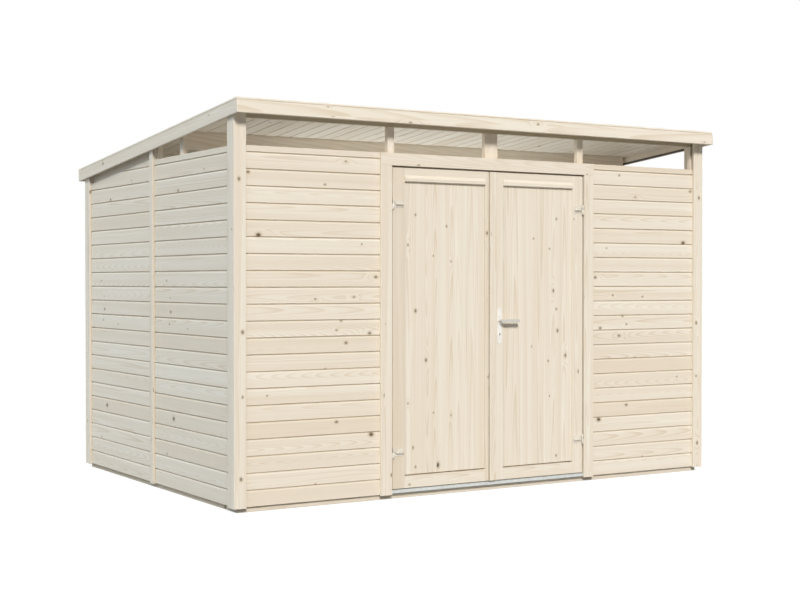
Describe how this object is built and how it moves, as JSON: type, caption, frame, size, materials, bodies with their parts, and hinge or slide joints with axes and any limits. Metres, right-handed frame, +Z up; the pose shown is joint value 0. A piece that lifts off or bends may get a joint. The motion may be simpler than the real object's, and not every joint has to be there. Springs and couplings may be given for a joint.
{
  "type": "wooden garden shed",
  "caption": "Pent-roof garden shed of pale board panels with a double door, a lever lock set and an open strip under the high front eave.",
  "frame": {"origin": "on the ground, under the middle of the roof's plan", "axes": "+X to the right along the front wall, +Y from the front wall to the back wall, +Z up"},
  "size_m": [3.333, 2.437, 2.1682],
  "materials": {
    "cladding": "planed untreated spruce boards",
    "trim": "planed untreated spruce",
    "frame_timber": "planed untreated spruce",
    "base_timber": "sawn untreated spruce",
    "floor_boards": "planed untreated spruce boards",
    "roof_boards": "planed untreated spruce boards",
    "door_timber": "planed untreated spruce",
    "roofing_felt": "mineral-coated bitumen felt",
    "threshold_metal": "plain aluminium",
    "zinc_hardware": "bright zinc-plated steel",
    "lock_metal": "satin metal"
  },
  "bodies": {
    "shed": {"base_bearers": "base_timber", "base_joists": "base_timber", "floor": "floor_boards", "threshold": "threshold_metal", "front_cladding": "cladding", "left_cladding": "cladding", "right_cladding": "cladding", "back_cladding": "cladding", "front_studs": "frame_timber", "back_studs": "frame_timber", "left_studs": "frame_timber", "right_studs": "frame_timber", "sole_plates": "frame_timber", "top_plates": "frame_timber", "front_corner_boards": "trim", "back_corner_boards": "trim", "side_corner_boards": "trim", "side_cover_strips": "trim", "back_cover_strips": "trim", "door_casings": "trim", "door_header": "trim", "door_jambs": "frame_timber", "door_side_stops": "frame_timber", "door_head_rail": "frame_timber", "door_head_stop": "frame_timber", "clerestory_posts": "trim", "purlins": "frame_timber", "roof_deck": "roof_boards", "roof_felt": "roofing_felt", "eaves_fascias": "trim", "verge_fascias": "trim", "eaves_caps": "trim", "verge_caps": "trim", "frame_hinges": "zinc_hardware"},
    "door_left": {"left_door_stiles": "door_timber", "left_door_rails": "door_timber", "left_door_panel": "door_timber", "left_door_hinges": "zinc_hardware"},
    "door_right": {"right_door_stiles": "door_timber", "right_door_rails": "door_timber", "right_door_panel": "door_timber", "right_door_hinges": "zinc_hardware", "right_door_astragal": "door_timber", "lock_plates": "lock_metal"},
    "lever": {"lever_handles": "lock_metal"}
  },
  "joints": [
    {"name": "door_left_hinge", "type": "hinge", "parent": "shed", "child": "door_left", "pos_m": [-0.672, -1.137, 0.954], "axis": [0, 0, -1], "range_deg": [0, 120]},
    {"name": "door_right_hinge", "type": "hinge", "parent": "shed", "child": "door_right", "pos_m": [0.672, -1.137, 0.954], "axis": [0, 0, 1], "range_deg": [0, 120]},
    {"name": "lever_turn", "type": "hinge", "parent": "door_right", "child": "lever", "pos_m": [0.055, -1.116, 0.985], "axis": [0, 1, 0], "range_deg": [0, 40], "stiffness_Nm_per_rad": 1.5, "springref_deg": -17.19}
  ]
}
